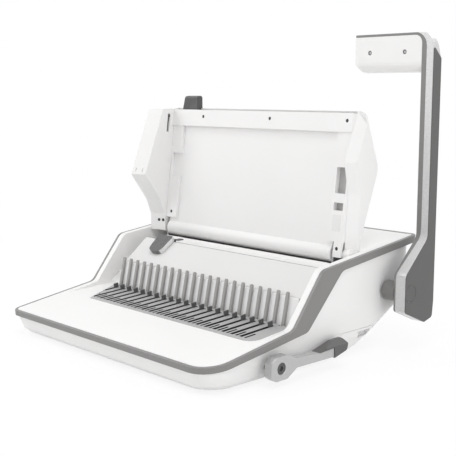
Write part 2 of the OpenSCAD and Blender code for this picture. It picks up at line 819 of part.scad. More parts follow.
// Handle: a side outline crossed with front outlines for the grey inner half and the silver rim
arm_back = 32;
arm_d = 15.5;
arm_y0 = shaft_y + arm_back;
arm_y1 = arm_y0 + arm_d;
inner_t = 6.6;
inner_low_t = 2.5;
panel_t = 1;
strip_h = 3;
arc_in = 9;
arc_mid = 16;
arc_out = 16;
top_flat = 5;
top_drop = 28;
top_fall = top_drop / (arm_d - top_flat);
knee_z = shaft_z + 62;
knee_low = shaft_z + 22;
rim_x = handle_x1 - panel_t;
strip_x = handle_x0 + inner_t - arc_mid;
handle_foot = [
    [arm_y0, knee_z], [shaft_y - 10, knee_low], [shaft_y - 10, shaft_z - 22], [shaft_y + 29, shaft_z - 39],
    [shaft_y + 45, shaft_z - 35], [arm_y1 - 0.5, shaft_z - 15]
];
foot_radii = [14, 12, 4, 4, 5, 8];
handle_outline = rounded(concat([[arm_y0, handle_top]], handle_foot,
    [[arm_y1, handle_top - top_drop], [arm_y0 + top_flat, handle_top]]), concat([0], foot_radii, [6, 4]));
panel_outline = rounded(concat([[arm_y0, handle_top - arc_out]], handle_foot,
    [[arm_y1, handle_top - top_drop - 2]]), concat([2], foot_radii, [2]));
module handle_front(x_low, x_high, r) {
    polygon(rounded([
        [handle_x0, 0], [x_low, 0], [x_low, knee_low], [x_high, knee_z + 12], [x_high, handle_top],
        [strip_x, handle_top], [strip_x, handle_top - strip_h], [handle_x0, handle_top - strip_h]
    ], [0, 0, 0, 0, r, 0, 0, arc_in]));
}
boss_r = 12;
collar_x = case_x + 1;
module inner_form() {
    intersection() {
        along_x(strip_x, handle_x1) polygon(handle_outline);
        along_y(shaft_y - far, shaft_y + far)
            handle_front(handle_x0 + inner_low_t, handle_x0 + inner_t, arc_mid);
    }
}
module handle_inner_half() {
    color(trim_grey) placed() difference() {
        inner_form();
        rod(0, handle_x0 + inner_low_t + 1, shaft_y, shaft_z, shaft_d / 2 + press_fit);
    }
}
module handle_collar() {
    color(dark_grey) placed() difference() {
        rod(collar_x, handle_x0, shaft_y, shaft_z, boss_r);
        rod(0, far, shaft_y, shaft_z, shaft_d / 2 + press_fit);
    }
}
module handle_rim() {
    color(silver) placed() difference() {
        intersection() {
            along_x(strip_x, rim_x) polygon(handle_outline);
            along_y(shaft_y - far, shaft_y + far) handle_front(rim_x, rim_x, arc_out);
        }
        inner_form();
        rod(0, shaft_end + slide_gap, shaft_y, shaft_z, shaft_d / 2 + press_fit);
    }
}
cap_r = 10;
module handle_side_panel() {
    color(dark_grey) placed() difference() {
        along_x(rim_x, handle_x1) polygon(panel_outline);
        rod(0, far, shaft_y, shaft_z, cap_r + seam);
    }
}
module pivot_cap() {
    color(dark_grey) placed() rod(rim_x, handle_x1, shaft_y, shaft_z, cap_r);
}

// Grip: two white halves, a dark strip along the top and two screws
grip_x0 = handle_x0 - grip_l;
grip_z0 = handle_top - grip_h;
grip_split = arm_y0 + 12.8;
function grip_top(y) = handle_top - (y - arm_y0 - top_flat) * top_fall;
grip_chamfer = 11;
module grip_outline() {
    polygon(rounded([
        [grip_x0, handle_top - strip_h], [grip_x0, grip_z0 + grip_chamfer],
        [grip_x0 + grip_chamfer * 0.75, grip_z0], [handle_x0, grip_z0], [handle_x0, handle_top - strip_h]
    ], [1, 5, 4, 0, arc_in + seam]));
}
strip_edge = [arm_y0 + top_flat + strip_h / top_fall, handle_top - strip_h];
screw_x = [grip_x0 + 22, handle_x0 - 24];
screw_z = handle_top - 22;
screw_head_r = 2.8;
screw_seat = 3;
module grip_body() {
    intersection() {
        along_y(arm_y0, arm_y0 + grip_d) grip_outline();
        along_x(0, far) children();
    }
}
module grip_front_half() {
    color(white) placed() difference() {
        grip_body() polygon(rounded([
            [arm_y0, grip_z0], [grip_split, grip_z0], [grip_split, grip_top(grip_split)], strip_edge,
            [arm_y0, handle_top - strip_h]
        ], [12, 0, 0, 0, 0]));
        for (x = screw_x) translate([x, arm_y0 + screw_seat, screw_z]) rotate([90, 0, 0])
            cylinder(r = screw_head_r, h = 10);
    }
}
module grip_rear_half() {
    rear = arm_y0 + grip_d;
    color(white) placed() grip_body() polygon(rounded([
        [grip_split, grip_z0], [rear, grip_z0], [rear, grip_top(rear)], [grip_split, grip_top(grip_split)]
    ], [0, 4, 2, 0]));
}
module grip_strip() {
    color(trim_grey) placed() along_x(grip_x0, strip_x) polygon([
        [arm_y0, handle_top - strip_h], strip_edge, [arm_y0 + top_flat, handle_top], [arm_y0, handle_top]
    ]);
}
module grip_screws() {
    color(steel) placed() for (x = screw_x) difference() {
        translate([x, arm_y0 + screw_seat, screw_z]) rotate([90, 0, 0])
            cylinder(r = screw_head_r - press_fit, h = 2.4);
        translate([x, arm_y0 + 1.8, screw_z]) rotate([90, 0, 0]) cylinder(d = 2.5, h = 5, $fn = 6);
    }
}

// Lid, laid out from its hinge; the outline points are distances from the hinge axis
lid_gap = 0.7;
lid_x = bay_x - lid_gap;
skin_t = 3.2;
lid_corner_r = 8;
barrel_r = 11.5;
eye_r = 8;
pin_cover = 2;
pin_end = 1;
lid_top = 167;
skin_path = [[11.5, 0], [12, 8], [21, 35], [43.5, 95], [43.5, 103], [23, 157], [20, 166]];
skin_back = backwards(shifted(skin_path, [-skin_t, 0]));
cheek_in = lid_x - cheek_w;
block_in = -lid_x + block_w;
liner_front = -7.5;
liner_t = 3;
liner_low = 14;
liner_top = 160;
flange_front = -12.5;
flange_h = 22;
flange_top = liner_top + 4;
module from_hinge() {
    translate([0, hinge_y, hinge_z]) children();
}
module leaned() {
    from_hinge() rotate([-lid_lean, 0, 0]) children();
}

// Room behind a front that slants in plan; the front's points hold at x and move back to the right of it
module slanted(x, angle, front, radii) {
    translate([x, 0, 0]) rotate([0, 0, angle]) along_x(-far, far) polygon(rounded(
        concat(squeezed(front, cos(angle)), [[far, front[len(front) - 1].y], [far, front[0].y]]),
        concat(radii, [0, 0])));
}
cheek_front = [[-5, -14], [-3, 20], [1, 70], [-7, 108], [12, 156], [20, 176]];
cheek_turn = 52;
tab_x = -122;
tab_travel = 12;
tab_gap = 0.5;
tab_recess = 150.5;
tab_depth = [-10.5, -0.7];
module tab_space(z0) {
    leaned() box(about(tab_x, tab_w / 2 + tab_gap), [tab_depth[0] - tab_gap, tab_depth[1] + 12], [z0, far]);
}
module lid_shell() {
    color(white) placed() difference() {
        from_hinge() intersection() {
            union() {
                along_x(-lid_x, lid_x) polygon(concat(skin_path, skin_back));
                intersection() {
                    along_x(cheek_in, lid_x) polygon(rounded(concat(
                        [[-40, 0], [-40, lid_top]], backwards(skin_path)), [0, 0, 2, 4, 10, 10, 0, 0, 0]));
                    slanted(cheek_in, cheek_turn, cheek_front, [0, 30, 40, 3, 0, 0]);
                }
                rod(cheek_in, lid_x, 0, 0, eye_r);
            }
            along_y(-far, far) polygon(rounded(
                [[-lid_x, -far], [lid_x, -far], [lid_x, lid_top], [-lid_x, lid_top]],
                [0, 0, lid_corner_r, 3]));
        }
        rod(cheek_in - 1, lid_x - pin_cover, hinge_y, hinge_z, hinge_d / 2 + run_fit);
        tab_space(tab_recess - 3);
        from_hinge() box([-frame_out - 1, frame_out + slide_gap], [-14, 14], [-14, 14]);
    }
}

// Inner liner of the lid: leaning panel, barrel, top flange and two columns with windows
column_w = 21;
column_front = flange_front + 1.5;
window_x = 17;
window_z = [70.5, 101];
low_window_z = [50.5, 59.5];
left_window_z = [71, 104];
module lid_liner() {
    x = [block_in + seam, cheek_in - seam];
    half = frame_in - slide_gap * 2;
    color(white) placed() difference() {
        union() {
            leaned() {
                box(x, [liner_front, liner_front + liner_t], [liner_low, liner_top]);
                box(x, [flange_front, liner_front + liner_t], [flange_top - flange_h, flange_top]);
                box([x[1] - column_w, x[1]], [column_front, liner_front], [liner_low, liner_top]);
                box([x[0], x[0] + column_w], [column_front, liner_front], [liner_low, liner_top]);
                box([frame_out + slide_gap, x[1]], [column_front, -eye_r], [-4, 15]);
                box(half * [-1, 1], [liner_front, liner_front + liner_t], [0, 16]);
            }
            rod(-half, half, hinge_y, hinge_z, barrel_r);
        }
        tab_space(tab_recess);
        rod(-half - 1, half + 1, hinge_y, hinge_z, barrel_r - liner_t);
        leaned() {
            box([x[1] - window_x, x[1] - 1.5], [-far, far], window_z);
            box([x[1] - window_x, x[1] - 3], [-far, far], low_window_z);
            box([x[0] + 3, x[0] + column_w + 1], [-far, liner_front], left_window_z);
            liner_screw_places() cylinder(r = lid_screw_r, h = 20);
        }
    }
}
lid_screw_r = 2.2;
lid_screw_h = 1.6;
lid_screw_seat = 2;
lid_screw_points = [[-91.7, 155, 0], [32.3, 155, 0], [cheek_in - 8, 155, 0], [cheek_in - 7, 6, 1.5],
    [block_in + 10, 22, 1.5]];
module liner_screw_places() {
    for (p = lid_screw_points)
        translate([p.x, flange_front + p.z + lid_screw_seat, p.y]) rotate([90, 0, 0]) children();
}
module lid_screws() {
    color(dark_grey) placed() {
        leaned() liner_screw_places() cylinder(r = lid_screw_r - press_fit, h = lid_screw_h);
        neck_places() cylinder(r = lid_screw_r - press_fit, h = lid_screw_h);
    }
}

// Left block of the lid, open at the back behind the lid shell
block_wall = 3;
block_apex = [-54, 76];
block_top = [-21, 165];
block_turn = 22;
block_face = atan2(block_top.x - block_apex.x, block_top.y - block_apex.y);
neck = 20;
slit_w = 1.2;
slit_l = 5;
pin_slot_y = -21;
pin_slot_z = [132, 157];
tab_pin_d = 3;
module neck_places() {
    from_hinge() for (share = [0.55, 0.85])
        translate([share * block_w - lid_x, share * block_w * tan(block_turn) + 2 - neck, 10])
            rotate([90, 0, block_turn]) children();
}
module left_block() {
    color(white) placed() difference() {
        from_hinge() {
            intersection() {
                along_x(-lid_x, block_in) polygon(concat(
                    [[-8, -4], [-70, -4], [-70, block_top.y], [9, block_top.y]],
                    backwards(shifted(skin_path, [-skin_t - seam, 0]))));
                slanted(-lid_x, block_turn, [[-neck, -9], [-neck, 19], [-28, 40], block_apex, block_top,
                    block_top + 12 * [sin(block_face), cos(block_face)]], [0, 4, 4, 2, 0, 0]);
            }
            rod(-lid_x, block_in, 0, 0, eye_r);
        }
        from_hinge() along_x(-lid_x + block_wall, block_in - block_wall) polygon([
            [-10, 161.5], [-40, 77.5], [-38, 74], [-18, 46], [70, 46], [70, 113], [40, 161.5]
        ]);
        from_hinge() for (share = [0.25, 0.72])
            translate([share * block_w - lid_x, block_apex.x + share * block_w * tan(block_turn),
                block_apex.y]) rotate([-block_face, 0, 0])
                    translate([-slit_w / 2, -2, 4]) cube([slit_w, block_wall + 2, slit_l]);
        neck_places() cylinder(r = lid_screw_r, h = 20);
        rod(pin_cover - lid_x, 0, hinge_y, hinge_z, hinge_d / 2 + run_fit);
        leaned() {
            box([block_in - block_wall - 1, block_in + 1], about(pin_slot_y, tab_pin_d / 2 + slide_gap),
                pin_slot_z);
            box([block_in - block_wall - 1, block_in + 1], [-6, 2], [104, 132]);
        }
    }
}
module hinge_pins() {
    color(steel) placed() {
        rod(pin_cover + pin_end - lid_x, -frame_in, hinge_y, hinge_z, hinge_d / 2);
        rod(frame_in, lid_x - pin_cover - pin_end, hinge_y, hinge_z, hinge_d / 2);
    }
}

// Press tab with its stem, and the link with the pin in the block's slot
stem_y = [-4.2, -0.7];
stem_half = 10;
stem_low = 119;
link_h = 9;
tab_low = tab_recess + tab_travel + 1;
tab_top = 185;
tab_flare = 2.5;
tab_bend = liner_top + 7;
tab_pin_z = pin_slot_z[1] - tab_pin_d / 2 - 1.7;
module press_tab() {
    h = tab_w / 2;
    color(dark_grey) placed() leaned() {
        intersection() {
            along_x(tab_x - h, tab_x + h) polygon(rounded([
                [tab_depth[0], tab_low], [tab_depth[0], tab_top - 3],
                [tab_depth[1], tab_top], [tab_depth[1], tab_low]
            ], [0, 3, 3, 0]));
            translate([tab_x, 0, 0]) along_y(-far, far) polygon(rounded([
                [-h, tab_low], [h, tab_low], [h, tab_bend],
                [h - tab_flare, tab_top], [tab_flare - h, tab_top], [-h, tab_bend]
            ], [0, 0, 6, 3, 3, 6]));
        }
        box(about(tab_x, stem_half), stem_y, [stem_low, tab_low]);
    }
}
module tab_link() {
    x = about(block_in - block_wall - 3, 2);
    color(dark_grey) placed() leaned() {
        box([x[0], tab_x - stem_half], stem_y, [stem_low, stem_low + link_h]);
        box(x, [pin_slot_y - 3, stem_y[1]], [stem_low, tab_pin_z + 2.2]);
        rod(x[1], block_in + 1.2, pin_slot_y, tab_pin_z, tab_pin_d / 2);
    }
}

// Edge guide on the punch cover
knob_l = 28;
knob_t = 6;
shoe_t = 1.6;
shoe_rise = 0.6;
shoe_lap = 1.2;
module edge_guide_knob() {
    h = guide_w / 2;
    color(dark_grey) placed() difference() {
        translate([guide_x, cover_top.x, cover_top.y]) rotate([cover_slope, 0, 0])
            translate([0, 0, slide_gap]) linear_extrude(knob_t) polygon(rounded([
                [3 - h, -knob_l], [h - 3, -knob_l], [h, 2], [-h, 2]
            ], [9, 9, 3, 3]));
        box(about(guide_x, guide_w), [cover_rear - shoe_lap, far], [-far, slot_z + shoe_rise + shoe_t]);
    }
}
module edge_guide_shoe() {
    x = about(guide_x, guide_w / 2 - 1);
    y = [cover_rear + slide_gap, die_y0 - slide_gap];
    z = [slot_z + shoe_rise, slot_z + shoe_rise + shoe_t];
    color(dark_grey) placed() {
        box(x, y, [slot_z - 12, z[1]]);
        box(x, [cover_rear - shoe_lap, y[1]], z);
        box([x[1], x[1] + 8], [cover_rear - shoe_lap, slot_y + slot_gap / 2 - 1], z);
    }
}

// Chip drawer with a front cut from the shell's own side and a finger recess in it
recess_x = case_x - 14;
recess_y = [drawer_y1 - 33, drawer_y1 - 8];
recess_z = [drawer_z1 - 11, drawer_z1 - 3];
drawer_t = 1.8;
module chip_drawer() {
    color(white) placed() difference() {
        intersection() {
            union() {
                difference() {
                    union() {
                        intersection() {
                            box([drawer_x0, far], [drawer_y0, drawer_y1], [drawer_z0, drawer_z1]);
                            shell_form(wall + slide_gap);
                        }
                        drawer_window(0);
                    }
                    intersection() {
                        box([drawer_x0 + drawer_t, far], [drawer_y0 + drawer_t, drawer_y1 - drawer_t],
                            [drawer_z0 + drawer_t, far]);
                        shell_form(wall + slide_gap + 1);
                    }
                }
                box([recess_x - drawer_t, case_x], recess_y + drawer_t * [-1, 1],
                    recess_z + drawer_t * [-1, 1]);
            }
            shell_form(0);
        }
        box([recess_x, far], recess_y, recess_z);
    }
}
module drawer_runners() {
    outer = 2.5;
    half = frame_in - 36;
    height = 12;
    front = [drawer_y0 - outer, drawer_y0 - slide_gap];
    rear = [drawer_y1 + slide_gap, drawer_y1 + outer];
    color(comb_grey) placed() for (y = [front, rear])
        box(half * [-1, 1], y, [floor_z, floor_z + height]);
}

foot_places = [[case_x - 37, 46], [case_x - 49, drawer_y1 - 23]];
module rubber_feet() {
    color(rubber) placed() both_sides() for (p = foot_places)
        translate([p.x, p.y, 0]) cylinder(d = foot_d, h = foot_h);
}

lower_shell();
trim_band();
upper_case();
rear_cover();
punch_cover();
comb_back_panel();
finger_bar();
comb_fingers();
hook_bed();
side_frames();
tie_rods();
die_front_plate();
die_rear_plate();
die_spacers();
paper_stop();
chip_chute();
throat_guide();
shaft_bushes();
bar_guides();
lever_bearings();
hook_rails();
drawer_runners();
hinge_pins();
rubber_feet();
handle_inner_half();
handle_collar();
handle_rim();
handle_side_panel();
pivot_cap();
grip_front_half();
grip_rear_half();
grip_strip();
grip_screws();
drive_shaft();
drive_pinions();
punch_bar();
punch_pins();
punch_racks();
lever_arm();
lever_grip();
lever_screw();
lever_shaft();
lever_pinions();
hook_carriage();
comb_hooks();
hook_racks();
lid_shell();
lid_liner();
left_block();
lid_screws();
press_tab();
tab_link();
edge_guide_knob();
edge_guide_shoe();
chip_drawer();
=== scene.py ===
"""Looks of a manual comb binding machine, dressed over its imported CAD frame."""

import json
import math

import bpy
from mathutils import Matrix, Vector


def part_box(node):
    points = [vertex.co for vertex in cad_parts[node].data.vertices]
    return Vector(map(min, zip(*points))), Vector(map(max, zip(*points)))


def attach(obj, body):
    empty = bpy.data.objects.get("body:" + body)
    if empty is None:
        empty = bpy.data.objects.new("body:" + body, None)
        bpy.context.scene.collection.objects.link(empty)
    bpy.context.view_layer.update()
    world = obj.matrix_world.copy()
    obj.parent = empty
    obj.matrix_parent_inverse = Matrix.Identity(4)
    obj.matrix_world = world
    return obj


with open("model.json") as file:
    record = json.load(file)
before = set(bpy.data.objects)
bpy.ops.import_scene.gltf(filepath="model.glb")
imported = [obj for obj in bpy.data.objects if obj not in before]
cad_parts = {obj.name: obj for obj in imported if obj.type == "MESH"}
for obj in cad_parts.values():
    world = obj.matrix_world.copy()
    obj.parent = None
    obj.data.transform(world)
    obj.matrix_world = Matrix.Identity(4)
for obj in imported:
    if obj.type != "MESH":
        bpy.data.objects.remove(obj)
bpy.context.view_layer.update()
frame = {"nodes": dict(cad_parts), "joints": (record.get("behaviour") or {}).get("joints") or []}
nodes = frame["nodes"]
joints = {joint["name"]: joint for joint in frame["joints"]}

# Camera of the photograph: metres and degrees in the part's frame, millimetres for lens and sensor
CAMERA_PLACE = (0.8112, -0.7615, 0.3065)
CAMERA_TURN = 46.31
CAMERA_DIP = 8.49
CAMERA_LENS = 72.09
SENSOR_WIDTH = 36

# Rounding of sharp edges: distance of welded points in metres, and what counts as sharp and as flat
WELD = 0.00001
EDGE_ANGLE = math.radians(35)
FLAT_ANGLE = math.radians(0.5)

# Texture of moulded plastic: scales of its noises per metre, depth in metres
CLOUD_SCALE = 14.0
GLOSS_SCALE = 40.0
MOULD_GRAIN = 2600.0
FINE_GRAIN = 4000.0
GRAIN_STRENGTH = 0.12
GRAIN_DEPTH = 0.00003
PLASTIC_IOR = 1.46

# Which CAD nodes share a material
WHITE_NODES = (
    "lower_shell upper_case rear_cover comb_back_panel throat_guide grip_front_half grip_rear_half "
    "lid_shell lid_liner left_block chip_drawer"
).split()
TRIM_NODES = "trim_band handle_inner_half grip_strip".split()
# tab_link is dark so that the slot in the left block in front of it shows black: painted shade of the deep
# slot
DARK_NODES = "handle_side_panel pivot_cap lever_grip tab_link edge_guide_shoe".split()
COMB_NODES = "finger_bar comb_fingers bar_guides lever_bearings drawer_runners".split()
STEEL_NODES = (
    "side_frames tie_rods die_front_plate die_rear_plate die_spacers paper_stop chip_chute hook_rails "
    "hinge_pins drive_shaft drive_pinions punch_bar punch_pins punch_racks lever_shaft lever_pinions "
    "hook_carriage hook_racks"
).split()


def grey(value, warmth=0.0):
    """Grey that loses a share of its blue, and half that share of its green."""
    return (value, value * (1 - warmth * 0.5), value * (1 - warmth))


class Shader:
    """A node material round one Principled shader, with short calls for the usual node chains."""

    def __init__(self, name, colour, roughness, metallic=0.0):
        self.material = bpy.data.materials.new(name)
        self.material.use_nodes = True
        self.tree = self.material.node_tree
        self.shader = self.tree.nodes["Principled BSDF"]
        self.set("Base Color", (*colour, 1.0))
        self.set("Roughness", roughness)
        self.set("Metallic", metallic)
        coordinates = self.tree.nodes.new("ShaderNodeTexCoord")
        self.place = coordinates.outputs["Object"]
        self.facing = coordinates.outputs["Normal"]

    def set(self, socket, value):
        self.shader.inputs[socket].default_value = value

    def link(self, out, into):
        self.tree.links.new(out, into)

    def noise(self, scale, detail=3.0, stretch=(1.0, 1.0, 1.0)):
        mapping = self.tree.nodes.new("ShaderNodeMapping")
        mapping.inputs["Scale"].default_value = stretch
        self.link(self.place, mapping.inputs["Vector"])
        node = self.tree.nodes.new("ShaderNodeTexNoise")
        node.inputs["Scale"].default_value = scale
        node.inputs["Detail"].default_value = detail
        self.link(mapping.outputs["Vector"], node.inputs["Vector"])
        return node.outputs["Fac"]

    def colour_between(self, source, low, high, start=0.3, end=0.7):
        node = self.tree.nodes.new("ShaderNodeValToRGB")
        first, last = node.color_ramp.elements
        first.position = start
        last.position = end
        first.color = (*low, 1.0)
        last.color = (*high, 1.0)
        self.link(source, node.inputs["Fac"])
        self.link(node.outputs["Color"], self.shader.inputs["Base Color"])

    def roughness_between(self, source, low, high):
        node = self.tree.nodes.new("ShaderNodeMapRange")
        node.inputs["To Min"].default_value = low
        node.inputs["To Max"].default_value = high
        self.link(source, node.inputs["Value"])
        self.link(node.outputs["Result"], self.shader.inputs["Roughness"])

    def bump(self, source, strength, distance):
        node = self.tree.nodes.new("ShaderNodeBump")
        node.inputs["Strength"].default_value = strength
        node.inputs["Distance"].default_value = distance
        self.link(source, node.inputs["Height"])
        self.link(node.outputs["Normal"], self.shader.inputs["Normal"])

    def mould_finish(self, roughness, grain=MOULD_GRAIN):
        """Slow changes of gloss and a fine spark-eroded grain."""
        self.roughness_between(self.noise(GLOSS_SCALE), roughness * 0.85, roughness * 1.15)
        self.bump(self.noise(grain, detail=2.0), GRAIN_STRENGTH, GRAIN_DEPTH)


def moulded(name, value, roughness, warmth=0.0, grain=MOULD_GRAIN, spread=0.03):
    """Moulded plastic or blackened metal: a tone that changes slowly by the share spread."""
    s = Shader(name, grey(value, warmth), roughness)
    cloud = s.noise(CLOUD_SCALE, detail=4.0)
    s.colour_between(cloud, grey(value * (1 - spread), warmth), grey(value, warmth))
    s.mould_finish(roughness, grain)
    s.set("IOR", PLASTIC_IOR)
    return s.material


def painted_light_by_facing(name, axis, low, high, start, end, roughness):
    """Moulded plastic painted in two tones by which way its faces look along one axis: painted light and
    shade.
    """
    s = Shader(name, grey(high), roughness)
    axes = s.tree.nodes.new("ShaderNodeSeparateXYZ")
    s.link(s.facing, axes.inputs["Vector"])
    s.colour_between(axes.outputs[axis], grey(low), grey(high), start, end)
    s.mould_finish(roughness)
    return s.material


def metallic_paint(name, value, roughness):
    """Silver painted plastic: fine bright flakes under a thin clear coat."""
    s = Shader(name, grey(value), roughness, metallic=0.55)
    flakes = s.noise(scale=1100.0, detail=2.0)
    s.colour_between(flakes, grey(value * 0.91), grey(min(1.0, value * 1.06)), start=0.36, end=0.64)
    s.roughness_between(s.noise(scale=60.0), roughness * 0.9, roughness * 1.2)
    s.bump(s.noise(scale=5200.0, detail=1.0), strength=0.05, distance=0.00002)
    s.set("Coat Weight", 0.25)
    s.set("Coat Roughness", 0.2)
    return s.material


def brushed(name, value, roughness):
    """Ground steel: long fine scratches along X."""
    s = Shader(name, grey(value), roughness, metallic=1.0)
    scratches = s.noise(scale=30.0, detail=6.0, stretch=(1.0, 60.0, 60.0))
    s.colour_between(scratches, grey(value * 0.82), grey(value))
    s.roughness_between(scratches, roughness * 0.8, roughness * 1.4)
    s.bump(scratches, strength=0.15, distance=0.00003)
    return s.material


def rubber(name, value):
    """Matt rubber with a coarse skin."""
    s = Shader(name, grey(value), roughness=0.85)
    s.colour_between(s.noise(scale=120.0), grey(value * 0.8), grey(value * 1.2))
    s.bump(s.noise(scale=900.0, detail=4.0), strength=0.4, distance=0.0001)
    return s.material


def bronze(name):
    """Sintered bronze: a mottled tone and an open grain."""
    s = Shader(name, (0.60, 0.42, 0.2), roughness=0.35, metallic=1.0)
    s.colour_between(s.noise(scale=400.0), (0.50, 0.34, 0.15), (0.64, 0.46, 0.23))
    s.bump(s.noise(scale=1500.0, detail=4.0), strength=0.2, distance=0.00005)
    return s.material


# Nodes, their material with its name, tone, roughness and warmth, and the record's slot for it
MATERIALS = [
    (WHITE_NODES, moulded("white_satin", 0.86, 0.42, 0.012, spread=0.015), "white_plastic"),
    # Punch cover: the same white as the case, painted darker, painted shade
    (["punch_cover"], moulded("cover_painted_shade", 0.74, 0.42, 0.012, spread=0.015), "white_plastic"),
    (TRIM_NODES, moulded("trim_grey", 0.23, 0.32, 0.03), "trim_plastic"),
    (DARK_NODES, moulded("dark_grey", 0.105, 0.38, 0.03), "dark_plastic"),
    (["press_tab"], moulded("tab_grey", 0.07, 0.38, 0.03), "dark_plastic"),
    # Knob: faces that look towards +X get the light tone, a painted highlight on its glossy right flank; the
    # others stay dark grey
    (["edge_guide_knob"], painted_light_by_facing("knob_painted_highlight", "X", 0.11, 0.75, 0.55, 0.75, roughness=0.28), "dark_plastic"),
    (["handle_collar"], moulded("collar_grey", 0.20, 0.36, 0.03), "dark_plastic"),
    (["handle_rim"], metallic_paint("silver_paint", 0.66, 0.36), "silver_plastic"),
    (["lever_arm"], metallic_paint("lever_paint", 0.50, 0.40), "silver_plastic"),
    (COMB_NODES, moulded("comb_grey", 0.36, 0.38, 0.03), "grey_plastic"),
    # Hook bed: faces that look up keep the grey, its side faces are painted near black, painted shade in its
    # slots
    (["hook_bed"], painted_light_by_facing("bed_painted_shade", "Z", 0.035, 0.41, 0.5, 0.8, roughness=0.38), "grey_plastic"),
    (STEEL_NODES, brushed("ground_steel", 0.55, 0.32), "steel"),
    (["grip_screws"], brushed("screw_steel", 0.80, 0.32), "steel"),
    (["lid_screws"], moulded("blackened", 0.03, 0.4, grain=FINE_GRAIN), "dark_steel"),
    (["lever_screw"], moulded("screw_grey", 0.08, 0.4, grain=FINE_GRAIN), "dark_steel"),
    (["comb_hooks"], moulded("hook_black", 0.10, 0.45, grain=FINE_GRAIN), "dark_steel"),
    (["shaft_bushes"], bronze("bronze"), "bronze"),
    (["rubber_feet"], rubber("foot_rubber", 0.025), "rubber"),
]

# Nodes, the radius of their sharp edges in metres, and the steps of that round
EDGES = [
    (WHITE_NODES + ["punch_cover"], 0.0007, 2),
    (TRIM_NODES, 0.0006, 2),
    (["handle_rim"], 0.0030, 4),
    (["lever_arm"], 0.0010, 2),
    (DARK_NODES + ["press_tab", "edge_guide_knob", "handle_collar"], 0.0006, 2),
    (["comb_fingers", "hook_bed", "finger_bar"], 0.0004, 2),
]


def dress(names, material):
    for name in names:
        piece = nodes[name]
        piece.data.materials.clear()
        piece.data.materials.append(material)


def round_edges(names, width, segments):
    """Small moulded radius along every sharp edge of a CAD node."""
    for name in names:
        piece = nodes[name]
        weld = piece.modifiers.new("weld", "WELD")
        weld.merge_threshold = WELD
        flat = piece.modifiers.new("flat", "DECIMATE")
        flat.decimate_type = "DISSOLVE"
        flat.angle_limit = FLAT_ANGLE
        bevel = piece.modifiers.new("edge", "BEVEL")
        bevel.width = width
        bevel.segments = segments
        bevel.limit_method = "ANGLE"
        bevel.angle_limit = EDGE_ANGLE
        bevel.use_clamp_overlap = True
        bevel.harden_normals = True


for names, material, slot in MATERIALS:
    dress(names, material)
for names, width, segments in EDGES:
    round_edges(names, width, segments)

# Small pieces that the CAD frame leaves out: plates on the lid's liner, which leans with the lid, the grey
# one painted shade of its pockets, and a dark ring on each screw head of the grip, painted shade of its
# recess. Depths and heights on the lid run from its hinge, in metres
HINGE = joints["lid_fold"]["pos_m"]
LID_UP = [-share for share in joints["tab_press"]["axis"]]
COLUMN_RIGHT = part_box("lid_liner")[1][0]
POCKET_X = (COLUMN_RIGHT - 0.0195, COLUMN_RIGHT - 0.0002)
POCKET_DEPTH = (-0.0043, -0.0033)
POCKET_HEIGHT = (0.048, 0.104)
POCKET_CORNER = 0.002
PLATE_X = (COLUMN_RIGHT - 0.0165, COLUMN_RIGHT - 0.0045)
PLATE_DEPTH = (-0.0113, -0.0108)
PLATE_HEIGHT = (0.026, 0.0455)
PLATE_CORNER = 0.001
SHADE_RING_HOLE = 0.0015
SHADE_RING_FRONT = -0.0003
SHADE_RING_BACK = 0.0001
CORNER_STEPS = 5
RING_STEPS = 32


def add_piece(name, points, faces, material, body):
    mesh = bpy.data.meshes.new(name)
    mesh.from_pydata(points, [], faces)
    mesh.materials.append(material)
    piece = bpy.data.objects.new(name, mesh)
    bpy.context.scene.collection.objects.link(piece)
    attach(piece, body)


def on_lid(x, depth, height):
    """Point on the leaning lid, depth behind its hinge and height up along it."""
    y = HINGE[1] + depth * LID_UP[2] + height * LID_UP[1]
    z = HINGE[2] - depth * LID_UP[1] + height * LID_UP[2]
    return (x, y, z)


def lid_plate(name, x, depth, height, radius, material):
    """Plate with round corners in the leaning plane of the lid, front at depth[0], back at depth[1]."""
    outline = []
    for side, top, start in ((0, 0, 180), (1, 0, 270), (1, 1, 0), (0, 1, 90)):
        middle_x = x[side] + (radius, -radius)[side]
        middle_z = height[top] + (radius, -radius)[top]
        for step in range(CORNER_STEPS + 1):
            turn = math.radians(start + 90 * step / CORNER_STEPS)
            outline.append((middle_x + radius * math.cos(turn), middle_z + radius * math.sin(turn)))
    count = len(outline)
    points = [on_lid(across, d, up) for d in depth for across, up in outline]
    faces = [tuple(range(count)), tuple(reversed(range(count, 2 * count)))]
    for i in range(count):
        j = (i + 1) % count
        faces.append((i, i + count, j + count, j))
    add_piece(name, points, faces, material, "lid")


def shade_rings(name, node, inner, front, back, material, body):
    """Flat ring in front of each of a node's two screw heads, which face the front; dark, it is painted shade
    of the screw recess.
    """
    low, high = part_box(node)
    outer = (high[2] - low[2]) / 2
    middle_z = (high[2] + low[2]) / 2
    loops = ((outer, front), (outer, back), (inner, back), (inner, front))
    points = []
    faces = []
    for middle_x in (low[0] + outer, high[0] - outer):
        base = len(points)
        for radius, y in loops:
            for step in range(RING_STEPS):
                turn = 2 * math.pi * step / RING_STEPS
                x = middle_x + radius * math.cos(turn)
                z = middle_z + radius * math.sin(turn)
                points.append((x, low[1] + y, z))
        for loop in range(len(loops)):
            here = base + loop * RING_STEPS
            there = base + (loop + 1) % len(loops) * RING_STEPS
            for step in range(RING_STEPS):
                following = (step + 1) % RING_STEPS
                faces.append((here + step, there + step, there + following, here + following))
    add_piece(name, points, faces, material, body)


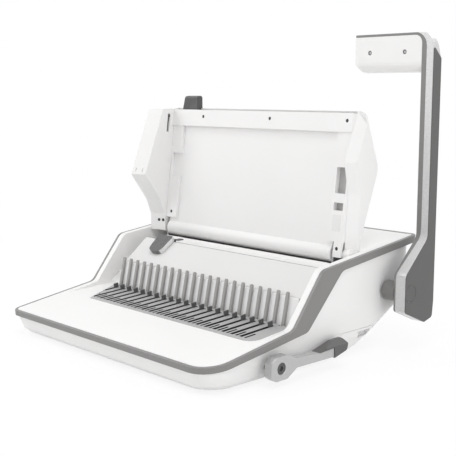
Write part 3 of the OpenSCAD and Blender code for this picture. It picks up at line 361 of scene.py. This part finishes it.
# Plate that closes the liner's pockets: its grey is painted shade of the pockets' white floor
lid_plate("pocket_backs", POCKET_X, POCKET_DEPTH, POCKET_HEIGHT, POCKET_CORNER,
          moulded("pocket_painted_shade", 0.45, 0.45, 0.02))
lid_plate("bare_plate", PLATE_X, PLATE_DEPTH, PLATE_HEIGHT, PLATE_CORNER,
          moulded("plate_white", 0.80, 0.30, 0.012))
shade_rings("grip_shade_rings", "grip_screws", SHADE_RING_HOLE, SHADE_RING_FRONT, SHADE_RING_BACK,
        moulded("recess_painted_shade", 0.15, 0.45, grain=FINE_GRAIN), "handle")

# Floor: half its width in metres, its tone, and the share of pure white that is seen, near and far
FLOOR_REACH = 6.0
FLOOR_TONE = 0.96
FLOOR_ROUGHNESS = 0.9
FLOOR_GLOW = 0.85
FLOOR_NEAR = 0.35
FLOOR_FAR = 0.9

# Light: strength of the world, and each lamp's name, place, size in metres and power in watts
WHITE = (1, 1, 1, 1)
SKY_LIGHT = 0.64
LAMP_TARGET = Vector((0.0, 0.0, 0.12))
LAMPS = [
    ("high", (0.9, -0.6, 2.4), 1.0, 15),
    ("right", (2.0, 0.1, 0.8), 1.4, 6),
    ("left", (-1.5, -1.2, 1.4), 1.4, 15),
    ("back", (0.2, 1.6, 2.0), 1.4, 11),
]


def seen(tree):
    """1 for rays from the camera, a reflection or glass, 0 for all the light that falls on the object."""
    rays = tree.nodes.new("ShaderNodeLightPath")
    flag = rays.outputs["Is Camera Ray"]
    for name in ("Is Glossy Ray", "Is Transmission Ray"):
        either = tree.nodes.new("ShaderNodeMath")
        either.operation = "MAXIMUM"
        tree.links.new(flag, either.inputs[0])
        tree.links.new(rays.outputs[name], either.inputs[1])
        flag = either.outputs[0]
    return flag


def mixed(tree, factor, first, second, out):
    mix = tree.nodes.new("ShaderNodeMixShader")
    tree.links.new(factor, mix.inputs[0])
    tree.links.new(first, mix.inputs[1])
    tree.links.new(second, mix.inputs[2])
    tree.links.new(mix.outputs[0], out)


def floor_white():
    """White that keeps the shadow near the object and turns pure white far from it, with no horizon."""
    s = Shader("floor_white", grey(FLOOR_TONE), FLOOR_ROUGHNESS)
    distance = s.tree.nodes.new("ShaderNodeVectorMath")
    distance.operation = "LENGTH"
    s.link(s.place, distance.inputs[0])
    level = s.tree.nodes.new("ShaderNodeMapRange")
    level.inputs["From Min"].default_value = FLOOR_NEAR
    level.inputs["From Max"].default_value = FLOOR_FAR
    level.inputs["To Min"].default_value = FLOOR_GLOW
    level.inputs["To Max"].default_value = 1.0
    s.link(distance.outputs["Value"], level.inputs["Value"])
    share = s.tree.nodes.new("ShaderNodeMath")
    share.operation = "MULTIPLY"
    s.link(seen(s.tree), share.inputs[0])
    s.link(level.outputs["Result"], share.inputs[1])
    glow = s.tree.nodes.new("ShaderNodeEmission")
    mixed(s.tree, share.outputs[0], s.shader.outputs[0], glow.outputs[0],
          s.tree.nodes["Material Output"].inputs["Surface"])
    return s.material


def add_floor():
    reach = FLOOR_REACH
    mesh = bpy.data.meshes.new("floor")
    mesh.from_pydata([(-reach, -reach, 0), (reach, -reach, 0), (reach, reach, 0), (-reach, reach, 0)],
                     [], [(0, 1, 2, 3)])
    mesh.materials.append(floor_white())
    floor = bpy.data.objects.new("floor", mesh)
    bpy.context.scene.collection.objects.link(floor)


def add_world():
    """White world that lights the object softly and is pure white where it is seen."""
    world = bpy.data.worlds.new("studio")
    world.use_nodes = True
    tree = world.node_tree
    sky = tree.nodes["Background"]
    sky.inputs["Color"].default_value = WHITE
    sky.inputs["Strength"].default_value = SKY_LIGHT
    backdrop = tree.nodes.new("ShaderNodeBackground")
    backdrop.inputs["Color"].default_value = WHITE
    mixed(tree, seen(tree), sky.outputs[0], backdrop.outputs[0],
          tree.nodes["World Output"].inputs["Surface"])
    bpy.context.scene.world = world


def add_lamp(name, place, size, power):
    light = bpy.data.lights.new(name, "AREA")
    light.shape = "SQUARE"
    light.size = size
    light.energy = power
    lamp = bpy.data.objects.new(name, light)
    lamp.location = place
    lamp.rotation_euler = (LAMP_TARGET - Vector(place)).to_track_quat("-Z", "Y").to_euler()
    bpy.context.scene.collection.objects.link(lamp)


def add_camera():
    lens = bpy.data.cameras.new("camera")
    lens.lens = CAMERA_LENS
    lens.sensor_width = SENSOR_WIDTH
    camera = bpy.data.objects.new("camera", lens)
    camera.location = CAMERA_PLACE
    camera.rotation_euler = (math.radians(90 - CAMERA_DIP), 0, math.radians(CAMERA_TURN))
    bpy.context.scene.collection.objects.link(camera)
    bpy.context.scene.camera = camera


add_floor()
add_world()
for name, place, size, power in LAMPS:
    add_lamp(name, place, size, power)
add_camera()
bpy.context.scene.view_settings.view_transform = "Standard"
